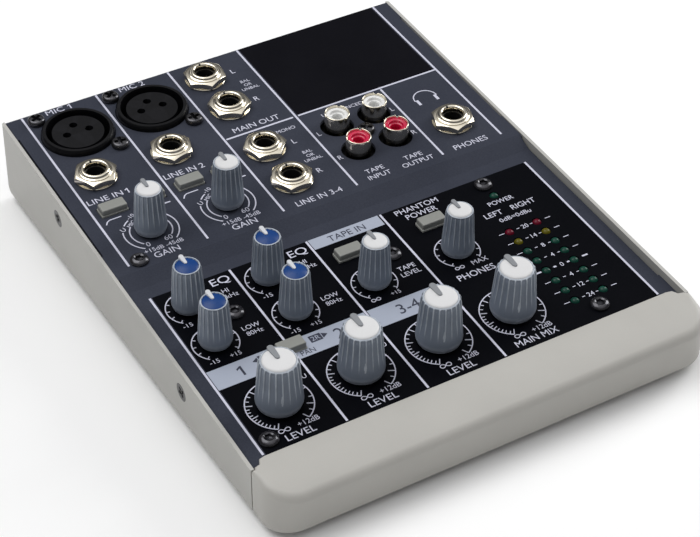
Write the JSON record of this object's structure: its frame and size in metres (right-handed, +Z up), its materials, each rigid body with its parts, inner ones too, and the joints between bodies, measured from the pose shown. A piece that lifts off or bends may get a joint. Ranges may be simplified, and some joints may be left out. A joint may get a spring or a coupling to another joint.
{
  "type": "mixing console",
  "caption": "Compact desktop audio mixing console: a metal wedge with a sloping panel of rotary knobs, push buttons, level meter lamps and audio sockets.",
  "frame": {"origin": "on the surface the console stands on, under the middle of its bounding box", "axes": "+X to the console's right, +Y to its back, +Z up"},
  "size_m": [0.147, 0.1932, 0.0442],
  "materials": {
    "case_paint": "satin warm grey powder paint",
    "panel_paint": "fine-textured charcoal paint with white, black and grey print",
    "bumper_plastic": "smooth satin warm grey moulding",
    "rubber": "matte black rubber",
    "case_screw": "painted countersunk screw",
    "board": "green glass-fibre board",
    "black_plastic": "black moulded plastic",
    "plain_steel": "plated steel",
    "black_screw": "black oxide steel",
    "contact": "plated contact",
    "nickel": "bright nickel plate",
    "white_plastic": "white moulding",
    "red_plastic": "red moulding",
    "red_lens": "unlit red lens",
    "yellow_lens": "unlit yellow lens",
    "green_lens": "unlit green lens",
    "pot_case": "moulded potentiometer case",
    "knob_plastic": "ribbed blue-grey moulding",
    "cap_white": "white cap with a grey pointer",
    "cap_blue": "blue domed cap with a pale pointer",
    "button_plastic": "pale warm grey moulding"
  },
  "bodies": {
    "case": {"chassis_tray": "case_paint", "top_panel": "panel_paint", "front_bumper": "bumper_plastic", "rubber_feet": "rubber", "side_screws": "case_screw", "connector_board": "board", "control_board": "board", "board_link": "black_plastic", "amplifier_chips": "black_plastic", "board_standoffs": "plain_steel", "panel_screws": "black_screw", "connector_screws": "black_screw", "xlr_shells": "black_plastic", "xlr_inserts": "black_plastic", "xlr_contacts": "contact", "jack_bodies": "black_plastic", "jack_bushings": "nickel", "jack_nuts": "nickel", "jack_washers": "nickel", "rca_housing": "black_plastic", "rca_shells": "nickel", "rca_inserts_white": "white_plastic", "rca_inserts_red": "red_plastic", "power_inlet": "black_plastic", "red_leds": "red_lens", "yellow_leds": "yellow_lens", "green_leds": "green_lens", "pot_bodies": "pot_case", "switch_bodies": "black_plastic"},
    "gain_1": {"gain_1_knob": "knob_plastic", "gain_1_cap": "cap_white"},
    "gain_2": {"gain_2_knob": "knob_plastic", "gain_2_cap": "cap_white"},
    "eq_high_1": {"eq_high_1_knob": "knob_plastic", "eq_high_1_cap": "cap_blue"},
    "eq_low_1": {"eq_low_1_knob": "knob_plastic", "eq_low_1_cap": "cap_blue"},
    "level_1": {"level_1_knob": "knob_plastic", "level_1_cap": "cap_white"},
    "eq_high_2": {"eq_high_2_knob": "knob_plastic", "eq_high_2_cap": "cap_blue"},
    "eq_low_2": {"eq_low_2_knob": "knob_plastic", "eq_low_2_cap": "cap_blue"},
    "level_2": {"level_2_knob": "knob_plastic", "level_2_cap": "cap_white"},
    "stereo_level": {"stereo_level_knob": "knob_plastic", "stereo_level_cap": "cap_white"},
    "main_mix": {"main_mix_knob": "knob_plastic", "main_mix_cap": "cap_white"},
    "tape_level": {"tape_level_knob": "knob_plastic", "tape_level_cap": "cap_white"},
    "phones_level": {"phones_level_knob": "knob_plastic", "phones_level_cap": "cap_white"},
    "low_cut_1_switch": {"low_cut_1_button": "button_plastic"},
    "instrument_1_switch": {"instrument_1_button": "button_plastic"},
    "low_cut_2_switch": {"low_cut_2_button": "button_plastic"},
    "instrument_2_switch": {"instrument_2_button": "button_plastic"},
    "tape_in_switch": {"tape_in_button": "button_plastic"},
    "phantom_power_switch": {"phantom_power_button": "button_plastic"},
    "stereo_pan_switch": {"stereo_pan_button": "button_plastic"}
  },
  "joints": [
    {"name": "gain_1_turn", "type": "hinge", "parent": "case", "child": "gain_1", "pos_m": [-0.0538, 0.02063, 0.02651], "axis": [0, -0.079, 0.9969], "range_deg": [-145, 145]},
    {"name": "gain_2_turn", "type": "hinge", "parent": "case", "child": "gain_2", "pos_m": [-0.0273, 0.02063, 0.02651], "axis": [0, -0.079, 0.9969], "range_deg": [-145, 145]},
    {"name": "eq_high_1_turn", "type": "hinge", "parent": "case", "child": "eq_high_1", "pos_m": [-0.0582, -0.01401, 0.02184], "axis": [0, -0.079, 0.9969], "range_deg": [-145, 145]},
    {"name": "eq_low_1_turn", "type": "hinge", "parent": "case", "child": "eq_low_1", "pos_m": [-0.0582, -0.03126, 0.02047], "axis": [0, -0.079, 0.9969], "range_deg": [-145, 145]},
    {"name": "level_1_turn", "type": "hinge", "parent": "case", "child": "level_1", "pos_m": [-0.0537, -0.06186, 0.01804], "axis": [0, -0.079, 0.9969], "range_deg": [-145, 145]},
    {"name": "eq_high_2_turn", "type": "hinge", "parent": "case", "child": "eq_high_2", "pos_m": [-0.0317, -0.01401, 0.02184], "axis": [0, -0.079, 0.9969], "range_deg": [-145, 145]},
    {"name": "eq_low_2_turn", "type": "hinge", "parent": "case", "child": "eq_low_2", "pos_m": [-0.0317, -0.03126, 0.02047], "axis": [0, -0.079, 0.9969], "range_deg": [-145, 145]},
    {"name": "level_2_turn", "type": "hinge", "parent": "case", "child": "level_2", "pos_m": [-0.0272, -0.06186, 0.01804], "axis": [0, -0.079, 0.9969], "range_deg": [-145, 145]},
    {"name": "stereo_level_turn", "type": "hinge", "parent": "case", "child": "stereo_level", "pos_m": [-0.0011, -0.06186, 0.01804], "axis": [0, -0.079, 0.9969], "range_deg": [-145, 145]},
    {"name": "main_mix_turn", "type": "hinge", "parent": "case", "child": "main_mix", "pos_m": [0.0245, -0.06186, 0.01804], "axis": [0, -0.079, 0.9969], "range_deg": [-145, 145]},
    {"name": "tape_level_turn", "type": "hinge", "parent": "case", "child": "tape_level", "pos_m": [-0.0048, -0.03126, 0.02047], "axis": [0, -0.079, 0.9969], "range_deg": [-145, 145]},
    {"name": "phones_level_turn", "type": "hinge", "parent": "case", "child": "phones_level", "pos_m": [0.0246, -0.03126, 0.02047], "axis": [0, -0.079, 0.9969], "range_deg": [-145, 145]},
    {"name": "low_cut_1_press", "type": "slide", "parent": "case", "child": "low_cut_1_switch", "axis": [0, 0.079, -0.9969], "range_m": [0, 0.002], "stiffness_N_per_m": 200, "springref_m": -0.001},
    {"name": "instrument_1_press", "type": "slide", "parent": "case", "child": "instrument_1_switch", "axis": [0, 0.079, -0.9969], "range_m": [0, 0.002], "stiffness_N_per_m": 200, "springref_m": -0.001},
    {"name": "low_cut_2_press", "type": "slide", "parent": "case", "child": "low_cut_2_switch", "axis": [0, 0.079, -0.9969], "range_m": [0, 0.002], "stiffness_N_per_m": 200, "springref_m": -0.001},
    {"name": "instrument_2_press", "type": "slide", "parent": "case", "child": "instrument_2_switch", "axis": [0, 0.079, -0.9969], "range_m": [0, 0.002], "stiffness_N_per_m": 200, "springref_m": -0.001},
    {"name": "tape_in_press", "type": "slide", "parent": "case", "child": "tape_in_switch", "axis": [0, 0.079, -0.9969], "range_m": [0, 0.002], "stiffness_N_per_m": 200, "springref_m": -0.001},
    {"name": "phantom_power_press", "type": "slide", "parent": "case", "child": "phantom_power_switch", "axis": [0, 0.079, -0.9969], "range_m": [0, 0.002], "stiffness_N_per_m": 200, "springref_m": -0.001},
    {"name": "stereo_pan_press", "type": "slide", "parent": "case", "child": "stereo_pan_switch", "axis": [0, 0.079, -0.9969], "range_m": [0, 0.002], "stiffness_N_per_m": 200, "springref_m": -0.001}
  ]
}
